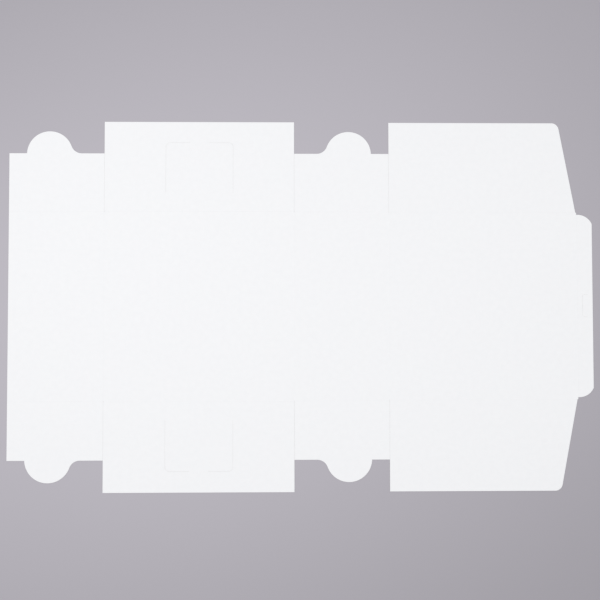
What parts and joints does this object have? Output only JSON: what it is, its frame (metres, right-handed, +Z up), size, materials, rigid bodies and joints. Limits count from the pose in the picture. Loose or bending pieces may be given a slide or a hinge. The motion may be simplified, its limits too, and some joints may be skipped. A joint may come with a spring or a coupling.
{
  "type": "bakery box",
  "caption": "Flat, open bakery box of white paperboard: square bottom with hinged walls, corner ears with round lock tabs, and a hinged lid with side flaps and a tuck flap.",
  "frame": {"origin": "centre of the bottom panel's underside, which lies on the surface", "axes": "+X from the front wall towards the lid and its tuck flap, +Y along the creases towards the left side wall, +Z up, out of the inner face"},
  "size_m": [0.7819, 0.4946, 0.0005],
  "materials": {
    "board": "smooth white coated paperboard, low satin sheen"
  },
  "bodies": {
    "bottom_panel": {"bottom_panel": "board"},
    "front_wall": {"front_wall": "board"},
    "rear_wall": {"rear_wall": "board"},
    "left_wall": {"left_wall": "board"},
    "right_wall": {"right_wall": "board"},
    "front_left_ear": {"front_left_ear": "board"},
    "front_right_ear": {"front_right_ear": "board"},
    "rear_left_ear": {"rear_left_ear": "board"},
    "rear_right_ear": {"rear_right_ear": "board"},
    "lid_panel": {"lid_panel": "board"},
    "lid_left_flap": {"lid_left_flap": "board"},
    "lid_right_flap": {"lid_right_flap": "board"},
    "tuck_flap": {"tuck_flap": "board"}
  },
  "joints": [
    {"name": "front_wall_fold", "type": "hinge", "parent": "bottom_panel", "child": "front_wall", "pos_m": [-0.127, 0, 0.0005], "axis": [0, 1, 0], "range_deg": [0, 90]},
    {"name": "rear_wall_fold", "type": "hinge", "parent": "bottom_panel", "child": "rear_wall", "pos_m": [0.127, 0, 0.0005], "axis": [0, -1, 0], "range_deg": [0, 90]},
    {"name": "left_wall_fold", "type": "hinge", "parent": "bottom_panel", "child": "left_wall", "pos_m": [0, 0.127, 0.0005], "axis": [1, 0, 0], "range_deg": [0, 90]},
    {"name": "right_wall_fold", "type": "hinge", "parent": "bottom_panel", "child": "right_wall", "pos_m": [0, -0.127, 0.0005], "axis": [-1, 0, 0], "range_deg": [0, 90]},
    {"name": "front_left_ear_fold", "type": "hinge", "parent": "front_wall", "child": "front_left_ear", "pos_m": [-0.19035, 0.1262, 0.0005], "axis": [1, 0, 0], "range_deg": [0, 90]},
    {"name": "front_right_ear_fold", "type": "hinge", "parent": "front_wall", "child": "front_right_ear", "pos_m": [-0.19035, -0.1262, 0.0005], "axis": [-1, 0, 0], "range_deg": [0, 90]},
    {"name": "rear_left_ear_fold", "type": "hinge", "parent": "rear_wall", "child": "rear_left_ear", "pos_m": [0.1905, 0.1262, 0.0005], "axis": [1, 0, 0], "range_deg": [0, 90]},
    {"name": "rear_right_ear_fold", "type": "hinge", "parent": "rear_wall", "child": "rear_right_ear", "pos_m": [0.1905, -0.1262, 0.0005], "axis": [-1, 0, 0], "range_deg": [0, 90]},
    {"name": "lid_panel_fold", "type": "hinge", "parent": "rear_wall", "child": "lid_panel", "pos_m": [0.254, 0, 0.0005], "axis": [0, -1, 0], "range_deg": [0, 90]},
    {"name": "lid_left_flap_fold", "type": "hinge", "parent": "lid_panel", "child": "lid_left_flap", "pos_m": [0.3806, 0.1254, 0.0005], "axis": [1, 0, 0], "range_deg": [0, 90]},
    {"name": "lid_right_flap_fold", "type": "hinge", "parent": "lid_panel", "child": "lid_right_flap", "pos_m": [0.3806, -0.1254, 0.0005], "axis": [-1, 0, 0], "range_deg": [0, 90]},
    {"name": "tuck_flap_fold", "type": "hinge", "parent": "lid_panel", "child": "tuck_flap", "pos_m": [0.5072, 0, 0.0005], "axis": [0, -1, 0], "range_deg": [0, 90]}
  ]
}
